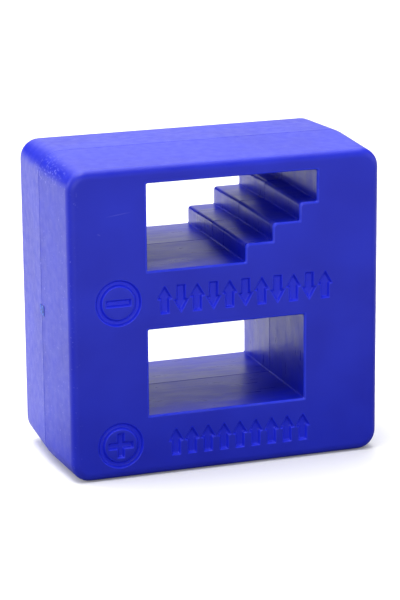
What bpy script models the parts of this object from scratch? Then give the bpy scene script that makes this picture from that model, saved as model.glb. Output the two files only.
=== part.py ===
"""Demagnetizer: a moulded block in two half shells, with three ferrite magnets in its walls.

Metres, +Z up. X runs across the front face, Y runs into the depth, and the front face looks
towards -Y. The block is laid out upright, with the seam between its shells in the plane y = 0
and the seam's lowest edge at z = 0. Every wall has mould draft away from the seam, so the block
stands on the flat underside of its front half, and an empty gives it that slight forward lean.
"""
import math

import bmesh
import bpy
from mathutils import Matrix, Vector

# Outer block, measured at the seam, where it is widest
WIDTH = 0.052
HEIGHT = 0.0505
DEPTH = 0.028
DRAFT = math.radians(2.4)
CORNER_RADIUS, CORNER_SEGMENTS = 0.0036, 8
FACE_EDGE_RADIUS, FACE_EDGE_SEGMENTS = 0.0013, 4

# Windows, measured on the front and rear faces, where they are largest
PLAIN_LEFT, PLAIN_RIGHT = -0.0129, 0.0128
PLAIN_FLOOR, PLAIN_TOP = 0.0104, 0.0242
STEPPED_LEFT, STEPPED_RIGHT = -0.0129, 0.0149
STEPPED_FLOOR, STEPPED_TOP = 0.0336, 0.0473
STEP_RISERS = (0.00305, 0.00756, 0.0120)
STEP_RISE = 0.0029

# Moulded walls and the clearance between touching pieces
WALL = 0.0020
WINDOW_WALL = 0.0016
RIB = 0.0012
GAP = 0.0003
OVERSHOOT = 0.0010

# Magnets: three equal ferrite blocks, thin side facing the window
MAGNET_SIZE = (0.008, 0.022, 0.020)
MAGNET_X = 0.0190
LOWER_MAGNET_Z = 0.0155
MAGNET_PITCH_Z = MAGNET_SIZE[2] + RIB + 2 * GAP
MAGNET_CHAMFER = 0.0004

# Locating pins on the rear shell, in bored bosses on the front shell
PIN_SPOTS = ((-0.0060, 0.0289), (0.0100, 0.0315), (0.0202, 0.0390), (0.0, 0.0057))
PIN_RADIUS = 0.0012
PIN_REACH = 0.0050
BOSS_RADIUS = 0.0025

# Engraved marks on each face: a - ring beside the upper row of arrows, a + ring beside the lower row
ENGRAVE_DEPTH = 0.0005
RING_RADIUS, RING_BAND = 0.0036, 0.0009
RING_X, MINUS_RING_Z, PLUS_RING_Z = -0.01765, 0.02895, 0.00605
SIGN_LENGTH, SIGN_BAND = 0.0039, 0.0010
ARROW_LENGTH, ARROW_WIDTH, ARROW_HEAD, ARROW_SHAFT = 0.0043, 0.0023, 0.0020, 0.0013
ARROW_PITCH = 0.00265
UPPER_ROW_START, UPPER_ROW_Z, UPPER_ROW_COUNT = -0.0102, 0.0288, 11
LOWER_ROW_START, LOWER_ROW_Z, LOWER_ROW_COUNT = -0.0086, 0.0057, 9

FRONT, REAR = -1, 1
TAPER = math.tan(DRAFT)

for old in list(bpy.data.objects):
    bpy.data.objects.remove(old, do_unlink=True)

parts = bpy.data.collections.new("demagnetizer")
cutters = bpy.data.collections.new("cutters")
for collection in (parts, cutters):
    bpy.context.scene.collection.children.link(collection)

stand = bpy.data.objects.new("stand", None)
parts.objects.link(stand)
stand.rotation_euler.x = DRAFT


def material(name, color, roughness, metallic=0.0):
    made = bpy.data.materials.new(name)
    made.use_nodes = True
    shader = made.node_tree.nodes["Principled BSDF"]
    shader.inputs["Base Color"].default_value = (*color, 1.0)
    shader.inputs["Roughness"].default_value = roughness
    shader.inputs["Metallic"].default_value = metallic
    return made


def add_object(name, mesh_editor, collection):
    """Make a mesh object from a bmesh, with its faces turned outwards."""
    bmesh.ops.recalc_face_normals(mesh_editor, faces=mesh_editor.faces)
    mesh = bpy.data.meshes.new(name)
    mesh_editor.to_mesh(mesh)
    mesh_editor.free()
    made = bpy.data.objects.new(name, mesh)
    collection.objects.link(made)
    if collection is cutters:
        made.hide_render = True
        made.display_type = "WIRE"
    return made


def add_box(mesh_editor, x, y, z):
    """Add a box between the two values given for each of x, y and z."""
    spans = [(min(pair), max(pair)) for pair in (x, y, z)]
    size = Matrix.Diagonal([high - low for low, high in spans] + [1.0])
    centre = Matrix.Translation([(low + high) / 2 for low, high in spans])
    bmesh.ops.create_cube(mesh_editor, size=1.0, matrix=centre @ size)


def add_cylinder(mesh_editor, radius, x, z, y_from, y_to, segments):
    """Add a closed cylinder that lies along Y."""
    turn = Matrix.Rotation(math.radians(90), 4, "X")
    place = Matrix.Translation((x, (y_from + y_to) / 2, z))
    bmesh.ops.create_cone(mesh_editor, cap_ends=True, segments=segments, radius1=radius, radius2=radius,
                          depth=abs(y_to - y_from), matrix=place @ turn)


def add_prism(mesh_editor, outline_from, outline_to, y_from, y_to):
    """Add a prism along Y: one flat face, extruded and then fitted to its second outline."""
    first = [mesh_editor.verts.new((x, y_from, z)) for x, z in outline_from]
    face = mesh_editor.faces.new(first)
    grown = bmesh.ops.extrude_face_region(mesh_editor, geom=[face], use_keep_orig=True)["geom"]
    far_ends = {tuple(vert.co): vert for vert in grown if isinstance(vert, bmesh.types.BMVert)}
    second = [far_ends[tuple(vert.co)] for vert in first]
    for vert, (x, z) in zip(second, outline_to):
        vert.co = (x, y_to, z)


def block_outline(inset):
    """Corners of the outer block, drawn in by an inset from its size at the seam."""
    half = WIDTH / 2 - inset
    return [(-half, inset), (half, inset), (half, HEIGHT - inset), (-half, HEIGHT - inset)]


def plain_outline(grow):
    """Corners of the plain window, grown outwards from its size on the face."""
    left, right = PLAIN_LEFT - grow, PLAIN_RIGHT + grow
    return [(left, PLAIN_FLOOR - grow), (right, PLAIN_FLOOR - grow), (right, PLAIN_TOP + grow),
            (left, PLAIN_TOP + grow)]


def stepped_outline(grow):
    """Corners of the stepped window, whose floor climbs in equal steps to the right."""
    points = [(STEPPED_LEFT - grow, STEPPED_FLOOR - grow)]
    for number, riser in enumerate(STEP_RISERS):
        tread = STEPPED_FLOOR + number * STEP_RISE
        points += [(riser + grow, tread - grow), (riser + grow, tread + STEP_RISE - grow)]
    last_tread = STEPPED_FLOOR + len(STEP_RISERS) * STEP_RISE
    points += [(STEPPED_RIGHT + grow, last_tread - grow), (STEPPED_RIGHT + grow, STEPPED_TOP + grow),
               (STEPPED_LEFT - grow, STEPPED_TOP + grow)]
    return points


def drafted(name, outline, side, face_distance, seam_distance, draft_sign, extra=0.0):
    """A prism in one half of the block, whose outline changes with the draft along its depth.

    Distances run from the seam towards the half's own face. A draft_sign of +1 is for the block,
    which is drawn in towards its face, and -1 for a window, which is drawn in towards the seam.
    """
    shape = bmesh.new()
    if draft_sign > 0:
        change = (TAPER * seam_distance + extra, TAPER * face_distance + extra)
    else:
        change = (TAPER * (seam_distance - DEPTH / 2) + extra, TAPER * (face_distance - DEPTH / 2) + extra)
    add_prism(shape, outline(change[0]), outline(change[1]), side * seam_distance, side * face_distance)
    return add_object(name, shape, cutters)


def boolean(target, operation, tool):
    cut = target.modifiers.new(tool.name, "BOOLEAN")
    cut.operation = operation
    cut.solver = "EXACT"
    cut.object = tool
    return cut


def outer_half(name, side):
    """One half of the outer block, with rounded corners and a small radius around its face."""
    shape = bmesh.new()
    face_y = side * DEPTH / 2
    add_prism(shape, block_outline(-TAPER * OVERSHOOT), block_outline(TAPER * DEPTH / 2),
              -side * OVERSHOOT, face_y)
    long_edges = [edge for edge in shape.edges if abs(edge.verts[0].co.y - edge.verts[1].co.y) > DEPTH / 4]
    bmesh.ops.bevel(shape, geom=long_edges, offset=CORNER_RADIUS, segments=CORNER_SEGMENTS, profile=0.5,
                    affect="EDGES")
    face_edges = [edge for edge in shape.edges if all(abs(vert.co.y - face_y) < GAP / 10 for vert in edge.verts)]
    bmesh.ops.bevel(shape, geom=face_edges, offset=FACE_EDGE_RADIUS, segments=FACE_EDGE_SEGMENTS,
                    profile=0.5, affect="EDGES")
    return add_object(name, shape, parts)


def window_walls(side):
    """The plastic around each window, before the windows are cut. Each is its own solid."""
    walls = []
    reach = (DEPTH / 2 - WALL / 2, -OVERSHOOT)
    for name, outline in (("plain", plain_outline), ("stepped", stepped_outline)):
        walls.append(drafted(f"{name}_wall_{side}", outline, side, *reach, -1, extra=WINDOW_WALL))
    lintel = bmesh.new()
    add_box(lintel, (STEPPED_LEFT - WINDOW_WALL / 2, STEPPED_RIGHT + WINDOW_WALL / 2),
            (-side * OVERSHOOT, side * (DEPTH / 2 - WALL / 2)), (STEPPED_TOP - WALL, HEIGHT - WALL / 2))
    walls.append(add_object(f"lintel_{side}", lintel, cutters))
    return walls


def magnet_bays(side):
    """Ribs that hold the magnets: a wall beside each column of them, shelves, rails and end stops."""
    bays = []
    seam_y, plate_y = -side * OVERSHOOT, side * (DEPTH / 2 - WALL / 2)
    wall_x = WIDTH / 2 - WALL + GAP
    inner_x = MAGNET_X - MAGNET_SIZE[0] / 2 - GAP
    outer_x = MAGNET_X + MAGNET_SIZE[0] / 2 + GAP
    low_z = LOWER_MAGNET_Z - MAGNET_SIZE[2] / 2 - GAP
    shelf_right = low_z + MAGNET_PITCH_Z
    for hand, top_z in ((-1, HEIGHT - WALL / 2), (1, shelf_right)):
        wall = bmesh.new()
        add_box(wall, (hand * inner_x, hand * (inner_x - RIB)), (seam_y, plate_y), (WALL / 2, top_z))
        bays.append(add_object(f"bay_wall_{hand}_{side}", wall, cutters))
        shelves = bmesh.new()
        floors = (low_z, shelf_right, low_z + 2 * MAGNET_PITCH_Z) if hand < 0 else (low_z, shelf_right)
        for shelf_z in floors:
            add_box(shelves, (hand * (inner_x - RIB / 2), hand * wall_x), (seam_y, plate_y),
                    (shelf_z - RIB, shelf_z))
        bays.append(add_object(f"shelves_{hand}_{side}", shelves, cutters))
        rails = bmesh.new()
        centres = (LOWER_MAGNET_Z, LOWER_MAGNET_Z + MAGNET_PITCH_Z) if hand < 0 else (LOWER_MAGNET_Z,)
        for centre_z in centres:
            for offset in (-MAGNET_SIZE[2] / 4, MAGNET_SIZE[2] / 4):
                rail_z = (centre_z + offset - RIB / 2, centre_z + offset + RIB / 2)
                add_box(rails, (hand * outer_x, hand * wall_x), (seam_y, plate_y), rail_z)
            stop_y = (side * (MAGNET_SIZE[1] / 2 + GAP), plate_y)
            add_box(rails, (hand * (MAGNET_X - RIB / 2), hand * (MAGNET_X + RIB / 2)), stop_y,
                    (centre_z - MAGNET_SIZE[2] / 4, centre_z + MAGNET_SIZE[2] / 4))
        bays.append(add_object(f"rails_{hand}_{side}", rails, cutters))
    return bays


def pegs(name, radius, y_from, y_to, segments=16):
    shape = bmesh.new()
    for x, z in PIN_SPOTS:
        add_cylinder(shape, radius, x, z, y_from, y_to, segments)
    return add_object(name, shape, cutters)


def ring_cutter(mesh_editor, x, z, face_y, depth_y):
    """A flat-bottomed ring: a square profile spun about the ring's axis."""
    inner, outer = RING_RADIUS - RING_BAND, RING_RADIUS
    corners = [mesh_editor.verts.new((x + radius, y, z)) for radius, y in
               ((inner, face_y), (outer, face_y), (outer, depth_y), (inner, depth_y))]
    profile = [mesh_editor.edges.new((corners[i], corners[(i + 1) % 4])) for i in range(4)]
    bmesh.ops.spin(mesh_editor, geom=profile, cent=(x, 0, z), axis=(0, 1, 0), angle=2 * math.pi, steps=32,
                   use_merge=True)
    bmesh.ops.remove_doubles(mesh_editor, verts=mesh_editor.verts, dist=1e-6)


def arrow_outline(x, z, points_up):
    """A plain upright arrow: a shaft with a triangular head."""
    turn = 1 if points_up else -1
    half, shaft, tip = ARROW_WIDTH / 2, ARROW_SHAFT / 2, ARROW_LENGTH / 2
    neck = tip - ARROW_HEAD
    shape = ((-shaft, -tip), (shaft, -tip), (shaft, neck), (half, neck), (0, tip), (-half, neck), (-shaft, neck))
    return [(x + turn * along, z + turn * up) for along, up in shape]


def sign_outline(x, z, is_plus):
    """A minus bar, or a plus with equal arms, centred in its ring."""
    arm, band = SIGN_LENGTH / 2, SIGN_BAND / 2
    if not is_plus:
        shape = ((-arm, -band), (arm, -band), (arm, band), (-arm, band))
    else:
        quarter = [(band, -arm), (band, -band), (arm, -band)]
        shape = []
        for turns in range(4):
            spin = Matrix.Rotation(turns * math.pi / 2, 2)
            shape += [tuple(spin @ Vector(point)) for point in quarter]
    return [(x + along, z + up) for along, up in shape]


def marks(side):
    """The engraving on one face. The rear face carries the same marks, turned about Z."""
    shape = bmesh.new()
    face_y, depth_y = -DEPTH / 2 - OVERSHOOT, -DEPTH / 2 + ENGRAVE_DEPTH
    ring_cutter(shape, RING_X, MINUS_RING_Z, face_y, depth_y)
    ring_cutter(shape, RING_X, PLUS_RING_Z, face_y, depth_y)
    outlines = [sign_outline(RING_X, MINUS_RING_Z, False), sign_outline(RING_X, PLUS_RING_Z, True)]
    for number in range(UPPER_ROW_COUNT):
        x = UPPER_ROW_START + number * ARROW_PITCH
        outlines.append(arrow_outline(x, UPPER_ROW_Z, number % 2 == 0))
    for number in range(LOWER_ROW_COUNT):
        x = LOWER_ROW_START + number * ARROW_PITCH
        outlines.append(arrow_outline(x, LOWER_ROW_Z, True))
    for outline in outlines:
        add_prism(shape, outline, outline, face_y, depth_y)
    if side == REAR:
        bmesh.ops.rotate(shape, verts=shape.verts, cent=(0, 0, 0), matrix=Matrix.Rotation(math.pi, 3, "Z"))
    return add_object(f"marks_{side}", shape, cutters)


def shell(name, side):
    """One half shell: a tray around the windows, with ribs for the magnets, open at the seam."""
    body = outer_half(name, side)
    hollow = drafted(f"hollow_{side}", block_outline, side, DEPTH / 2 - WALL, -2 * OVERSHOOT, 1, extra=WALL)
    boolean(body, "DIFFERENCE", hollow)
    for wall in window_walls(side) + magnet_bays(side):
        boolean(body, "UNION", wall)
    plate_y = side * (DEPTH / 2 - WALL / 2)
    if side == FRONT:
        boolean(body, "UNION", pegs("bosses", BOSS_RADIUS, -side * OVERSHOOT, plate_y))
        bore_depth = side * (PIN_REACH + WALL / 2)
        boolean(body, "DIFFERENCE", pegs("bores", PIN_RADIUS + GAP, -side * 2 * OVERSHOOT, bore_depth))
    for window, outline in (("plain", plain_outline), ("stepped", stepped_outline)):
        opening = drafted(f"{window}_opening_{side}", outline, side, DEPTH / 2 + OVERSHOOT, -2 * OVERSHOOT, -1)
        boolean(body, "DIFFERENCE", opening)
    boolean(body, "DIFFERENCE", marks(side))
    trim = bmesh.new()
    add_box(trim, (-WIDTH, WIDTH), (side * GAP / 2, -side * DEPTH), (-HEIGHT, 2 * HEIGHT))
    boolean(body, "DIFFERENCE", add_object(f"seam_trim_{side}", trim, cutters))
    if side == REAR:
        boolean(body, "UNION", pegs("pins", PIN_RADIUS, -PIN_REACH, plate_y))
    body.data.materials.append(blue_plastic)
    return body


def magnet(name, x, z):
    """A pressed ferrite block with ground faces and small edge chamfers."""
    shape = bmesh.new()
    add_box(shape, *[(-size / 2, size / 2) for size in MAGNET_SIZE])
    bmesh.ops.bevel(shape, geom=shape.edges[:], offset=MAGNET_CHAMFER, segments=1, affect="EDGES")
    block = add_object(name, shape, parts)
    block.location = (x, 0, z)
    block.data.materials.append(ferrite)
    return block


blue_plastic = material("blue_plastic", (0.030, 0.035, 0.46), 0.40)
ferrite = material("ferrite", (0.035, 0.035, 0.038), 0.65, 0.2)

shells = [shell("front_shell", FRONT), shell("rear_shell", REAR)]
magnets = [
    magnet("magnet_upper_left", -MAGNET_X, LOWER_MAGNET_Z + MAGNET_PITCH_Z),
    magnet("magnet_lower_left", -MAGNET_X, LOWER_MAGNET_Z),
    magnet("magnet_lower_right", MAGNET_X, LOWER_MAGNET_Z),
]
for piece in shells + magnets:
    piece.parent = stand
for cutter in cutters.objects:
    cutter.parent = stand

# The origin is under the middle of the leaning block's own box
lean_forward = math.sin(DRAFT) * (HEIGHT - TAPER * DEPTH / 2 - FACE_EDGE_RADIUS)
lean_back = math.sin(DRAFT) * (TAPER * DEPTH / 2 + FACE_EDGE_RADIUS)
stand.location.y = (lean_forward + lean_back) / 2
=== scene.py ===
"""Looks of the demagnetizer: satin blue shells with soft edges, polished windows and ferrite magnets.

Each shell piece keeps the inside of its packed shell, closed up at the seam, and gets new outer walls,
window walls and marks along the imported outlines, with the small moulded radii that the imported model
leaves out. It is built in the block's own upright axes, where the seam is the plane y = 0 and the
lowest edge is z = 0, and it is then leaned back.
"""

import math

import bmesh
import bpy
import numpy as np
from mathutils import Matrix, Vector, geometry


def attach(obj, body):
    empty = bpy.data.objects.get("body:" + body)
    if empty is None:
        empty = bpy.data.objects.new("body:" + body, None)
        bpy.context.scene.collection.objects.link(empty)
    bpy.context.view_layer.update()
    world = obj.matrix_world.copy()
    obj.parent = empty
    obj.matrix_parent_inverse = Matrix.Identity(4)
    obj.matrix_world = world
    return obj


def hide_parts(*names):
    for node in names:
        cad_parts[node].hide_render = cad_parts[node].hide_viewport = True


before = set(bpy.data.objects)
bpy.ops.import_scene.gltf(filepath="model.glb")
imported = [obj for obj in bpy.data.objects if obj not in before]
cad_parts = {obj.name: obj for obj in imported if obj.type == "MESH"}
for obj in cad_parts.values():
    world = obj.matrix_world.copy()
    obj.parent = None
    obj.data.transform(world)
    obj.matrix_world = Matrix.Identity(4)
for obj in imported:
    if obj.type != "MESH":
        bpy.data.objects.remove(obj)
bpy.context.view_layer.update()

MM = 0.001

# The walls' mould draft, which is also how far the block leans forward on the floor
LEAN = math.radians(2.4)
TAPER = math.tan(LEAN)

# Each shell's node, and its side of the seam along y
SHELLS = {"front_shell": -1, "rear_shell": 1}

# Moulded radii, and the flat steps in a quarter turn of one
FACE_EDGE_RADIUS = 1.3 * MM
NOSING_RADIUS = 0.55 * MM
WINDOW_CORNER_RADIUS = 0.22 * MM
RIM_RADIUS = 0.34 * MM
SEAM_RADIUS = 0.10 * MM
MARK_LIP_RADIUS = 0.16 * MM
MARK_FLOOR_RADIUS = 0.20 * MM
MARK_CORNER_RADIUS = 0.16 * MM
ARC_STEPS = 4
FACE_EDGE_STEPS = 7

# An engraved mark's depth, and how much it narrows on each side towards its floor
MARK_DEPTH = 0.48 * MM
MARK_SLOPE = 0.10 * MM

# Half the gap that is left between the shells
SEAM_OFFSET = 0.03 * MM

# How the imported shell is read: a little less than its front or rear wall, an area between a mark's and a
# window's, what counts as one point and as one plane, and how squarely a flat face looks front or rear
FACE_WALL = 1.9 * MM
WINDOW_AREA = 100 * MM ** 2
WELD = 0.002 * MM
NEAR = 0.01 * MM
FACING = 0.99

# An outline's turn that counts as a corner, and the share of a side that the arc at its end may take
SHARP_CORNER = math.radians(25)
ARC_ROOM = 0.45

# Edges sharper than this are shaded as edges
CREASE = math.radians(35)

# Small scratches on the front face, each with its x and z, half length, half width and angle in degrees,
# and the worn corner at the upper left
SCRATCHES = (
    (-17.4 * MM, 42.9 * MM, 2.3 * MM, 0.13 * MM, 7),
    (-20.6 * MM, 40.0 * MM, 0.4 * MM, 0.16 * MM, -30),
)
WORN_CORNER = (-25.2 * MM, -3.8 * MM, 48.3 * MM)
WORN_REACH = (3.0 * MM, 8.0 * MM, 3.0 * MM)

# The scar where the block was cut from its moulding runner, on the left of the seam
GATE_HEIGHT = 25.1 * MM
GATE_SIZE = (0.16 * MM, 2.3 * MM, 1.6 * MM)


# ---------------------------------------------------------------- the block's own axes

def upright_axes():
    """Turns the leaning block upright, with the seam in the plane y = 0 and its lowest edge at z = 0."""
    turn = Matrix.Rotation(-LEAN, 4, "X")
    points = [turn @ vert.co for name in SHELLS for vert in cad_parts[name].data.vertices]
    rows = [[point[axis] for point in points] for axis in range(3)]
    shift = Vector((0, -(min(rows[1]) + max(rows[1])) / 2, -min(rows[2])))
    size = Vector([max(row) - min(row) for row in rows])
    return Matrix.Translation(shift) @ turn, size


to_upright, block_size = upright_axes()
lean = to_upright.inverted()
half_width, half_depth = block_size.x / 2, block_size.y / 2


# ---------------------------------------------------------------- materials

class Material:
    """A Principled material, with short calls for the nodes that feed it."""

    def __init__(self, name):
        self.made = bpy.data.materials.new(name)
        self.made.use_nodes = True
        self.tree = self.made.node_tree
        self.shader = self.tree.nodes["Principled BSDF"]
        self.place = self.add("ShaderNodeTexCoord").outputs["Object"]

    def add(self, kind, **values):
        node = self.tree.nodes.new(kind)
        for key, value in values.items():
            setattr(node, key, value)
        return node

    def join(self, source, target):
        self.tree.links.new(source, target)

    def stretched(self, scale):
        """The surface point, scaled along each axis, so that a texture runs out along one of them."""
        node = self.add("ShaderNodeMapping")
        node.inputs["Scale"].default_value = scale
        self.join(self.place, node.inputs["Vector"])
        return node.outputs["Vector"]

    def along(self, axis):
        """The surface point's place along one axis."""
        node = self.add("ShaderNodeSeparateXYZ")
        self.join(self.place, node.inputs["Vector"])
        return node.outputs[axis]

    def noise(self, scale, detail=3.0, roughness=0.5, vector=None):
        node = self.add("ShaderNodeTexNoise")
        node.inputs["Scale"].default_value = scale
        node.inputs["Detail"].default_value = detail
        node.inputs["Roughness"].default_value = roughness
        self.join(vector or self.place, node.inputs["Vector"])
        return node.outputs["Fac"]

    def patch(self, x, y, z, half_sizes, angle=0):
        """One inside an oval patch around a point of the upright block, falling to zero at its rim."""
        node = self.add("ShaderNodeMapping", vector_type="TEXTURE")
        node.inputs["Location"].default_value = lean @ Vector((x, y, z))
        node.inputs["Rotation"].default_value = (0, math.radians(-angle), 0)
        node.inputs["Scale"].default_value = half_sizes
        self.join(self.place, node.inputs["Vector"])
        reach = self.add("ShaderNodeVectorMath", operation="LENGTH")
        self.join(node.outputs["Vector"], reach.inputs[0])
        return self.remap(reach.outputs["Value"], 0.4, 1, 1, 0)

    def remap(self, value, low, high, to_low, to_high):
        node = self.add("ShaderNodeMapRange")
        for key, number in zip(("From Min", "From Max", "To Min", "To Max"), (low, high, to_low, to_high)):
            node.inputs[key].default_value = number
        self.join(value, node.inputs["Value"])
        return node.outputs["Result"]

    def maths(self, operation, first, second):
        node = self.add("ShaderNodeMath", operation=operation)
        for socket, value in zip(node.inputs, (first, second)):
            if isinstance(value, (int, float)):
                socket.default_value = value
            else:
                self.join(value, socket)
        return node.outputs["Value"]

    def blend(self, factor, first, second):
        node = self.add("ShaderNodeMix", data_type="RGBA")
        self.join(factor, node.inputs["Factor"])
        colours = [socket for socket in node.inputs if socket.type == "RGBA"]
        for socket, value in zip(colours, (first, second)):
            if isinstance(value, tuple):
                socket.default_value = (*value, 1.0)
            else:
                self.join(value, socket)
        return next(socket for socket in node.outputs if socket.type == "RGBA")

    def bump(self, height, distance, strength, normal=None):
        node = self.add("ShaderNodeBump")
        node.inputs["Distance"].default_value = distance
        node.inputs["Strength"].default_value = strength
        self.join(height, node.inputs["Height"])
        if normal:
            self.join(normal, node.inputs["Normal"])
        return node.outputs["Normal"]

    def set(self, **values):
        """Plain numbers and colours go on the shader's own sockets."""
        for key, value in values.items():
            socket = self.shader.inputs[key.replace("_", " ")]
            if isinstance(value, bpy.types.NodeSocket):
                self.join(value, socket)
            else:
                socket.default_value = (*value, 1.0) if isinstance(value, tuple) else value
        return self.made


# Each plastic surface drifts between a deeper and a paler blue
OUTSIDE_BLUES = ((0.010, 0.019, 0.57), (0.013, 0.026, 0.65))
# The window walls' darker blues are painted shade: the same plastic, darkened where it lies in shade
# inside the windows
WINDOW_SHADE_BLUES = ((0.005, 0.012, 0.46), (0.006, 0.015, 0.56))
# The rims' paler blues are a painted highlight: the light line that runs along each window rim
RIM_HIGHLIGHT_BLUES = ((0.016, 0.034, 0.76), (0.022, 0.044, 0.85))
# The marks' paler blues are a painted sheen: the brighter look of the engraved floors
MARK_SHEEN_BLUES = ((0.010, 0.022, 0.76), (0.013, 0.027, 0.84))
TORN_BLUES = ((0.02, 0.06, 0.40), (0.06, 0.18, 0.92))
RUBBED_BLUE = (0.30, 0.33, 0.90)
DUST = (0.14, 0.14, 0.46)
FERRITE_GREYS = ((0.020, 0.020, 0.022), (0.075, 0.075, 0.08))
PAPER_WHITES = ((0.93, 0.93, 0.94), (0.96, 0.96, 0.96))
WHITE = (1.0, 1.0, 1.0)

PLASTIC_IOR = 1.46
FERRITE_IOR = 1.9


def satin_plastic(name, deep, pale):
    """The outside and the marks: fine spark-eroded texture, slow flow marks and rubbed patches, with
    pale specks on the left side, the worn corner and the scratches."""
    skin = Material(name)
    flow = skin.noise(90, detail=2)
    colour = skin.blend(skin.remap(flow, 0.35, 0.65, 0, 1), deep, pale)
    grit = skin.noise(2600, detail=2, roughness=0.4)
    specks = skin.remap(grit, 0.68, 0.76, 0, 0.5)
    handled = skin.remap(skin.along("X"), 2 * FACE_EDGE_RADIUS - half_width, -half_width, 0, 1)
    colour = skin.blend(skin.maths("MULTIPLY", specks, handled), colour, RUBBED_BLUE)
    rubs = skin.remap(grit, 0.60, 0.66, 0, 0.6)
    worn = skin.maths("MULTIPLY", rubs, skin.patch(*WORN_CORNER, WORN_REACH))
    colour = skin.blend(worn, colour, RUBBED_BLUE)
    for x, z, length, width, angle in SCRATCHES:
        mark = skin.patch(x, -half_depth, z, (length, MM, width), angle)
        colour = skin.blend(skin.maths("MULTIPLY", mark, 0.12), colour, RUBBED_BLUE)
    scuffs = skin.noise(1, detail=4, roughness=0.65, vector=skin.stretched((260, 1500, 900)))
    patches = skin.remap(skin.noise(70, detail=2), 0.5, 0.72, 0, 1)
    rubbed = skin.maths("MULTIPLY", skin.remap(scuffs, 0.6, 0.78, 0, 1), patches)
    roughness = skin.maths("SUBTRACT", skin.remap(skin.noise(700), 0.3, 0.7, 0.36, 0.46),
                           skin.maths("MULTIPLY", rubbed, 0.10))
    waves = skin.bump(flow, 0.25 * MM, 0.35)
    grain = skin.bump(skin.noise(5200, detail=4, roughness=0.6), 0.02 * MM, 0.35, waves)
    return skin.set(Base_Color=colour, Roughness=roughness, Normal=grain, IOR=PLASTIC_IOR)


def polished_plastic(name, deep, pale):
    """The windows and their rims: smoother, with fine lines along the depth, rub marks and dust."""
    wall = Material(name)
    draw = wall.noise(1, detail=5, roughness=0.6, vector=wall.stretched((90, 2600, 200)))
    rubs = wall.noise(1, detail=3, roughness=0.6, vector=wall.stretched((160, 420, 160)))
    dust = wall.noise(1, detail=6, roughness=0.7, vector=wall.stretched((240, 1100, 280)))
    colour = wall.blend(wall.remap(rubs, 0.35, 0.65, 0, 1), deep, pale)
    colour = wall.blend(wall.remap(dust, 0.52, 0.75, 0, 0.22), colour, DUST)
    roughness = wall.maths("ADD", wall.remap(draw, 0.3, 0.7, 0.25, 0.34),
                           wall.remap(rubs, 0.4, 0.7, 0, 0.11))
    lines = wall.bump(draw, 0.02 * MM, 0.3, wall.bump(wall.noise(160, detail=1), 0.1 * MM, 0.3))
    return wall.set(Base_Color=colour, Roughness=roughness, Normal=lines, IOR=PLASTIC_IOR)


def scar_plastic():
    """Torn plastic at the gate: paler where it was stressed, and rough."""
    scar = Material("gate_scar_plastic")
    tear = scar.noise(2600, detail=4, roughness=0.65)
    colour = scar.blend(scar.remap(tear, 0.4, 0.6, 0, 1), *TORN_BLUES)
    rough = scar.remap(tear, 0.3, 0.7, 0.35, 0.6)
    ragged = scar.bump(tear, 0.05 * MM, 0.8)
    return scar.set(Base_Color=colour, Roughness=rough, Normal=ragged, IOR=PLASTIC_IOR)


def ferrite():
    """Hard ferrite: near-black, pressed and ground, with fine pits."""
    block = Material("ferrite")
    pits = block.noise(2400, detail=4, roughness=0.7)
    grind = block.noise(1, detail=3, roughness=0.6, vector=block.stretched((300, 300, 4200)))
    colour = block.blend(block.remap(pits, 0.35, 0.7, 0, 1), *FERRITE_GREYS)
    rough = block.remap(grind, 0.3, 0.7, 0.45, 0.68)
    surface = block.bump(pits, 0.03 * MM, 0.5, block.bump(grind, 0.02 * MM, 0.4))
    return block.set(Base_Color=colour, Roughness=rough, Normal=surface, IOR=FERRITE_IOR)


def paper_floor():
    """Matt white sweep with a trace of fibre. The camera sees it white, but it throws less light on the
    block: some from far in front, least from close in front, and most from behind."""
    floor = Material("white_floor")
    fibre = floor.noise(900, detail=4, roughness=0.6)
    white = floor.blend(floor.remap(fibre, 0.3, 0.7, 0, 1), *PAPER_WHITES)
    depth = floor.along("Y")
    in_front = floor.remap(depth, -70 * MM, -30 * MM, 0.36, 0.10)
    behind = floor.remap(depth, -20 * MM, 30 * MM, 0, 0.8)
    thrown = floor.maths("ADD", in_front, behind)
    seen = floor.add("ShaderNodeLightPath").outputs["Is Camera Ray"]
    colour = floor.blend(seen, thrown, white)
    floor.set(Emission_Color=WHITE, Emission_Strength=floor.maths("MULTIPLY", seen, 0.08))
    return floor.set(Base_Color=colour, Roughness=0.9, Normal=floor.bump(fibre, 0.02 * MM, 0.1),
                     Specular_IOR_Level=0.2)


# ---------------------------------------------------------------- outlines and profiles

def flat(ring):
    """A ring of vertices as an outline, seen from the front."""
    return [Vector((vert.co.x, vert.co.z)) for vert in ring]


def area(outline):
    """Positive where the outline runs anticlockwise as seen from the front."""
    return sum(outline[i - 1].cross(point) for i, point in enumerate(outline)) / 2


def turned(vector, angle):
    """A flat vector, turned to the left by an angle."""
    return Vector((vector.x * math.cos(angle) - vector.y * math.sin(angle),
                   vector.x * math.sin(angle) + vector.y * math.cos(angle)))


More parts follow.
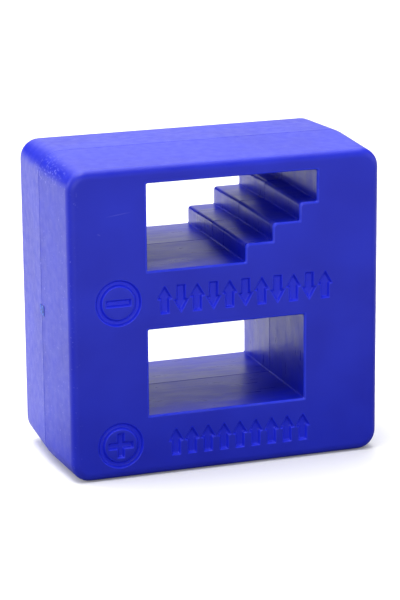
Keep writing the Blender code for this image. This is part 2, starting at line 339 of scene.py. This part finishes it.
def section(outline, offset, convex, concave):
    """An outline moved into the material on its left, with its corners rounded."""
    count = len(outline)
    ways = [(outline[(i + 1) % count] - outline[i]).normalized() for i in range(count)]
    moved = []
    for i, point in enumerate(outline):
        before, after = turned(ways[i - 1], math.pi / 2), turned(ways[i], math.pi / 2)
        moved.append(point + (before + after) * offset / (1 + before.dot(after)))
    rounded = []
    for i, point in enumerate(moved):
        turn = -ways[i - 1].angle_signed(ways[i])
        if abs(turn) < SHARP_CORNER:
            rounded.append(point)
            continue
        room = ARC_ROOM * min((moved[(i + 1) % count] - point).length, (moved[i - 1] - point).length)
        radius = min(convex if turn > 0 else concave, room / math.tan(abs(turn) / 2))
        start = point - ways[i - 1] * radius * math.tan(abs(turn) / 2)
        arm = turned(ways[i - 1], -math.copysign(math.pi / 2, turn)) * radius
        rounded += [start - arm + turned(arm, turn * step / ARC_STEPS) for step in range(ARC_STEPS + 1)]
    return rounded


def quarter(steps=ARC_STEPS):
    """Sine and cosine along a quarter turn."""
    angles = [math.pi / 2 * step / steps for step in range(steps + 1)]
    return [(math.sin(angle), math.cos(angle)) for angle in angles]


def rounded_edge(radius, steps=ARC_STEPS):
    """The profile of the edge between an outer face and a wall, from the face down."""
    return [(radius * (1 - sine), radius * (1 - cosine)) for sine, cosine in quarter(steps)]


# Each profile lists how far a wall lies into the material, and how far below the outer face
seam_depth = half_depth - SEAM_OFFSET
SEAM_EDGE = [(SEAM_RADIUS * (1 - cosine), seam_depth - SEAM_RADIUS * (1 - sine))
             for sine, cosine in quarter()]
WINDOW_RIM = rounded_edge(RIM_RADIUS)
WINDOW_WALL = [(offset - TAPER * depth, depth) for offset, depth in WINDOW_RIM[-1:] + SEAM_EDGE]
SKIN = [(offset + TAPER * (half_depth - depth), depth)
        for offset, depth in rounded_edge(FACE_EDGE_RADIUS, FACE_EDGE_STEPS) + SEAM_EDGE]
MARK_FLOOR = [(-MARK_SLOPE - MARK_FLOOR_RADIUS * (1 - cosine), MARK_DEPTH - MARK_FLOOR_RADIUS * (1 - sine))
              for sine, cosine in quarter()]
MARK_WALL = rounded_edge(MARK_LIP_RADIUS) + MARK_FLOOR


# ---------------------------------------------------------------- shells

# A shell's material slots, in this order
OUTSIDE, WINDOW, RIM, MARK = range(4)


class Shell:
    """One half of the block, built upright from the outlines of its packed shell."""

    def __init__(self, node, side):
        self.side = side
        self.shape = bmesh.new()
        self.shape.from_mesh(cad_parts[node].data)
        bmesh.ops.transform(self.shape, matrix=to_upright, verts=self.shape.verts)
        bmesh.ops.remove_doubles(self.shape, verts=self.shape.verts, dist=WELD)
        self.seam = min(abs(vert.co.y) for face in self.shape.faces if abs(face.normal.y) > FACING
                        for vert in face.verts)

    def faces_where(self, test):
        """The faces that pass a test, as keys, which stay in the mesh's order where a set wouldn't."""
        return dict.fromkeys(face for face in self.shape.faces if test(face))

    def in_plane(self, distance):
        """The faces that lie in the plane at a distance from the seam's middle."""
        return self.faces_where(
            lambda face: all(abs(abs(vert.co.y) - distance) < NEAR for vert in face.verts))

    def outlines(self, region):
        """The closed edges of a flat region as rings of vertices, with the region on their left."""
        after = {loop.vert: loop.link_loop_next.vert for face in region for loop in face.loops
                 if not all(beside in region for beside in loop.edge.link_faces)}
        rings = []
        while after:
            ring = [next(iter(after))]
            while ring[-1] in after:
                ring.append(after.pop(ring[-1]))
            rings.append(ring[:-1])
        widest = max(rings, key=lambda ring: abs(area(flat(ring))))
        return rings if area(flat(widest)) > 0 else [ring[::-1] for ring in rings]

    def loft(self, outline, profile, convex, concave, material, start=None):
        """Lays a wall around an outline, and returns its first and last rings."""
        rings = [start] if start else []
        for offset, depth in profile[len(rings):]:
            y = self.side * (half_depth - depth)
            points = section(outline, offset, convex, concave)
            rings.append([self.shape.verts.new((x, y, z)) for x, z in points])
        for upper, lower in zip(rings, rings[1:]):
            for i in range(len(upper)):
                face = self.shape.faces.new((upper[i - 1], upper[i], lower[i], lower[i - 1]))
                face.material_index = material
        return rings[0], rings[-1]

    def fill(self, rings, material):
        """Fills the flat region that lies inside an odd number of rings."""
        verts = [vert for ring in rings for vert in ring]
        number = {vert: i for i, vert in enumerate(verts)}
        edges = [(number[ring[i - 1]], number[ring[i]]) for ring in rings for i in range(len(ring))]
        points = [Vector((vert.co.x, vert.co.z)) / MM for vert in verts]
        made = geometry.delaunay_2d_cdt(points, edges, [], 0, 1e-6)
        tails, heads = (np.array([points[edge[end]] for edge in edges]) for end in (0, 1))
        for triangle in made[2]:
            middle = sum((made[0][i] for i in triangle), Vector((0, 0))) / 3
            crossing = (tails[:, 1] > middle.y) != (heads[:, 1] > middle.y)
            tail, head = tails[crossing], heads[crossing]
            run = (middle.y - tail[:, 1]) * (head[:, 0] - tail[:, 0]) / (head[:, 1] - tail[:, 1])
            if np.count_nonzero(tail[:, 0] + run > middle.x) % 2:
                face = self.shape.faces.new([verts[made[3][i][0]] for i in triangle])
                face.material_index = material

    def build(self):
        """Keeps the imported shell's inside, and lays new walls, rims and marks around it."""
        face_region, seam_region = self.in_plane(half_depth), self.in_plane(self.seam)
        outer = self.faces_where(
            lambda face: max(abs(vert.co.y) for vert in face.verts) > half_depth - FACE_WALL)
        face_outlines = [flat(ring) for ring in self.outlines(face_region)]
        seam_rings = self.outlines(seam_region)
        inner_rings = [ring for ring in seam_rings
                       if not any(face in outer for vert in ring for face in vert.link_faces)]
        skin_outline = flat(max(seam_rings, key=lambda ring: area(flat(ring))))
        bmesh.ops.delete(self.shape, geom=list(outer | seam_region), context="FACES")
        for ring in inner_rings:
            for vert in ring:
                vert.co.y = self.side * SEAM_OFFSET

        face_ring, seam_ring = self.loft(skin_outline, SKIN, 0, 0, OUTSIDE)
        face_rings, seam_rings, floor_rings = [face_ring], [seam_ring] + inner_rings, []
        window_corners = NOSING_RADIUS, WINDOW_CORNER_RADIUS
        mark_corners = MARK_CORNER_RADIUS, MARK_CORNER_RADIUS
        for outline in face_outlines:
            size = area(outline)
            if size < -WINDOW_AREA:
                face_ring, rim_ring = self.loft(outline, WINDOW_RIM, *window_corners, RIM)
                seam_ring = self.loft(outline, WINDOW_WALL, *window_corners, WINDOW, start=rim_ring)[1]
                seam_rings.append(seam_ring)
            elif size < WINDOW_AREA:
                face_ring, floor_ring = self.loft(outline, MARK_WALL, *mark_corners, MARK)
                floor_rings.append(floor_ring)
            else:
                continue
            face_rings.append(face_ring)
        self.fill(face_rings, OUTSIDE)
        self.fill(seam_rings, OUTSIDE)
        self.fill(floor_rings, MARK)
        bmesh.ops.recalc_face_normals(self.shape, faces=self.shape.faces)
        bmesh.ops.transform(self.shape, matrix=lean, verts=self.shape.verts)
        for face in self.shape.faces:
            face.smooth = True


def new_piece(name, mesh, place=Matrix.Identity(4)):
    """A plastic piece at its place, which rides on the block's one body."""
    piece = bpy.data.objects.new(name, mesh)
    bpy.context.scene.collection.objects.link(piece)
    piece.matrix_world = place
    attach(piece, "root")
    return piece


def shell_piece(node, side, materials):
    """The visible shell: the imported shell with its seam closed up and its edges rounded."""
    shell = Shell(node, side)
    shell.build()
    name = node + "_case"
    mesh = bpy.data.meshes.new(name)
    shell.shape.to_mesh(mesh)
    shell.shape.free()
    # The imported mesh's own normals and sharp edges don't fit the new walls
    for attribute in ("custom_normal", "sharp_edge"):
        if attribute in mesh.attributes:
            mesh.attributes.remove(mesh.attributes[attribute])
    for material in materials:
        mesh.materials.append(material)
    mesh.set_sharp_from_angle(angle=CREASE)
    piece = new_piece(name, mesh)
    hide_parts(node)
    flattening = piece.modifiers.new("flat_faces", "WEIGHTED_NORMAL")
    flattening.keep_sharp = True


def gate_scar(material):
    """A low torn pad on the left side, across the seam: a thick unit grid, raised into a ragged dome."""
    shape = bmesh.new()
    bmesh.ops.create_grid(shape, x_segments=14, y_segments=14, size=0.5)
    bmesh.ops.solidify(shape, geom=shape.faces[:], thickness=-0.6)
    # Thickening leaves the points and faces in a new order each time, so they are put in order by place
    along_rows = Vector((1, 20, 50))
    shape.verts.sort(key=lambda vert: vert.co.dot(along_rows))
    shape.faces.sort(key=lambda face: face.calc_center_median().dot(along_rows))
    for vert in shape.verts:
        x, y = vert.co.x, vert.co.y
        radius = max(abs(x), abs(y)) * 2
        ragged = 0.22 * math.sin(19 * x + 3) * math.cos(23 * y) + 0.12 * math.sin(41 * y)
        if vert.co.z > 0:
            vert.co.z = (1 - radius ** 4) * (0.75 + ragged)
        vert.co.x = x * (1 - 0.10 * math.sin(9 * y + 1))
    turn = Matrix.Rotation(math.radians(-90), 4, "Y")
    stretch = Matrix.Diagonal((*GATE_SIZE, 1.0))
    bmesh.ops.transform(shape, matrix=stretch @ turn, verts=shape.verts)
    bmesh.ops.recalc_face_normals(shape, faces=shape.faces)
    mesh = bpy.data.meshes.new("gate_scar")
    shape.to_mesh(mesh)
    shape.free()
    mesh.shade_smooth()
    mesh.materials.append(material)
    new_piece("gate_scar", mesh, lean @ Matrix.Translation((-half_width, 0, GATE_HEIGHT)))


# ---------------------------------------------------------------- studio

# The floor's half size, how far it runs in front of the block, and how far below the block it lies
FLOOR_REACH = 6.0
FLOOR_FRONT = 1.0
FLOOR_DROP = 0.05 * MM


def studio_floor():
    """A white sheet just below the block, which runs far back and to the sides."""
    shape = bmesh.new()
    bmesh.ops.create_grid(shape, x_segments=1, y_segments=1, size=FLOOR_REACH)
    bmesh.ops.translate(shape, verts=shape.verts, vec=(0, FLOOR_REACH - FLOOR_FRONT, -FLOOR_DROP))
    mesh = bpy.data.meshes.new("floor")
    shape.to_mesh(mesh)
    shape.free()
    mesh.materials.append(paper_floor())
    floor = bpy.data.objects.new("floor", mesh)
    bpy.context.scene.collection.objects.link(floor)


def bearing(azimuth, elevation):
    """The unit vector towards a compass bearing from the front, rightwards, at a height above level."""
    azimuth, elevation = math.radians(azimuth), math.radians(elevation)
    return Vector((math.sin(azimuth) * math.cos(elevation), -math.cos(azimuth) * math.cos(elevation),
                   math.sin(elevation)))


# Soft white screens around the table: azimuth and elevation of the middle, angles at which each is
# still full and already gone, and its brightness. The room between them is almost dark
SCREENS = (
    (330, 80, 4, 24, 6.2),
    (180, 60, 10, 38, 3.3),
    (270, 45, 10, 38, 1.2),
    (90, 45, 10, 38, 0.2),
    (161, 13, 5, 25, 0.93),
    (250, 8, 10, 40, 1.8),
    (340, 8, 10, 40, 2.0),
    (62, 12, 10, 40, 1.3),
)
ROOM = 0.002


def surroundings():
    """The studio's walls: a dim room with soft screens, and a plain white background behind the block."""
    world = bpy.data.worlds.new("studio")
    bpy.context.scene.world = world
    world.use_nodes = True
    nodes, links = world.node_tree.nodes, world.node_tree.links
    direction = nodes.new("ShaderNodeTexCoord").outputs["Generated"]
    total = None
    for azimuth, elevation, full, gone, brightness in SCREENS:
        towards = nodes.new("ShaderNodeVectorMath")
        towards.operation = "DOT_PRODUCT"
        towards.inputs[1].default_value = bearing(azimuth, elevation)
        links.new(direction, towards.inputs[0])
        screen = nodes.new("ShaderNodeMapRange")
        screen.interpolation_type = "SMOOTHSTEP"
        screen.inputs["From Min"].default_value = math.cos(math.radians(gone))
        screen.inputs["From Max"].default_value = math.cos(math.radians(full))
        screen.inputs["To Max"].default_value = brightness
        links.new(towards.outputs["Value"], screen.inputs["Value"])
        added = nodes.new("ShaderNodeMath")
        added.inputs[1].default_value = ROOM
        links.new(screen.outputs["Result"], added.inputs[0])
        if total:
            links.new(total, added.inputs[1])
        total = added.outputs["Value"]
    lit = nodes["Background"]
    lit.inputs["Color"].default_value = (*WHITE, 1.0)
    links.new(total, lit.inputs["Strength"])
    seen = nodes.new("ShaderNodeBackground")
    seen.inputs["Color"].default_value = (*WHITE, 1.0)
    chooser = nodes.new("ShaderNodeMixShader")
    links.new(nodes.new("ShaderNodeLightPath").outputs["Is Camera Ray"], chooser.inputs["Fac"])
    links.new(lit.outputs["Background"], chooser.inputs[1])
    links.new(seen.outputs["Background"], chooser.inputs[2])
    links.new(chooser.outputs["Shader"], nodes["World Output"].inputs["Surface"])


def camera():
    """A long lens, to the left of the block and a little above it."""
    distance, azimuth, elevation, roll = 400.1 * MM, -18.68, 13.14, math.radians(-1.29)
    aim = Vector((0.17 * MM, -0.29 * MM, 24.24 * MM))
    data = bpy.data.cameras.new("camera")
    data.lens = 149.5
    data.sensor_width = 36.0
    data.clip_start, data.clip_end = 0.01, 50.0
    made = bpy.data.objects.new("camera", data)
    bpy.context.scene.collection.objects.link(made)
    back = bearing(azimuth, elevation)
    made.location = aim + back * distance
    level = (-back).to_track_quat("-Z", "Y").to_matrix()
    made.rotation_euler = (level @ Matrix.Rotation(roll, 3, "Z")).to_euler()
    bpy.context.scene.camera = made


# ---------------------------------------------------------------- the scene

camera()
shell_materials = (
    satin_plastic("satin_blue_plastic", *OUTSIDE_BLUES),
    # The windows' material is darker blue: painted shade inside the windows
    polished_plastic("polished_blue_plastic", *WINDOW_SHADE_BLUES),
    # The rims' material is paler blue as a painted highlight along them, not as wear
    polished_plastic("rim_painted_highlight_plastic", *RIM_HIGHLIGHT_BLUES),
    # The marks' material is paler blue as a painted sheen on the engraved floors
    satin_plastic("engraved_sheen_blue_plastic", *MARK_SHEEN_BLUES),
)
for node, side in SHELLS.items():
    shell_piece(node, side, shell_materials)
gate_scar(scar_plastic())

dark = ferrite()
for node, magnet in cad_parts.items():
    if node.startswith("magnet"):
        magnet.data.materials.clear()
        magnet.data.materials.append(dark)

studio_floor()
surroundings()
bpy.context.scene.view_settings.view_transform = "Standard"
